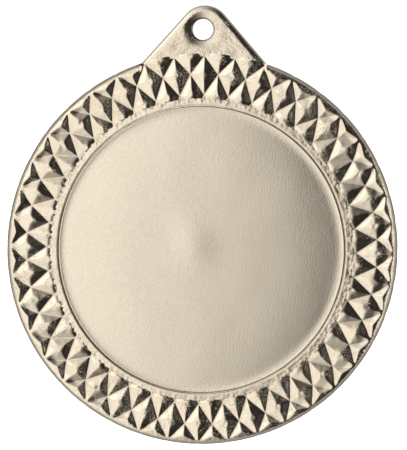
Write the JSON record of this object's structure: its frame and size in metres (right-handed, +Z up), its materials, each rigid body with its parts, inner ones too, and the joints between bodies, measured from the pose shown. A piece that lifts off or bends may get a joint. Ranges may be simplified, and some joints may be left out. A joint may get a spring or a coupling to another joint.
{
  "type": "sports finisher medal",
  "caption": "Round blank finisher medal with a faceted diamond rim, a satin domed centre disc and a triangular tab with a ribbon eyelet.",
  "frame": {"origin": "on the axis of the ribbon eyelet, halfway through the thickness of the tab", "axes": "+Z up, towards the tip of the tab as the medal hangs; -Y out of the struck face; +X to the viewer's right"},
  "size_m": [0.07, 0.003, 0.0789],
  "materials": {
    "polished_plate": "polished pale champagne-nickel plating over struck steel, lightly worn on the high edges",
    "satin_plate": "fine-grained satin plating in the same champagne-nickel colour",
    "adhesive_foam": "thin white double-sided foam tape"
  },
  "bodies": {
    "root": {"medal_body": "polished_plate", "centre_disc": "satin_plate", "adhesive_pad": "adhesive_foam"}
  },
  "joints": []
}
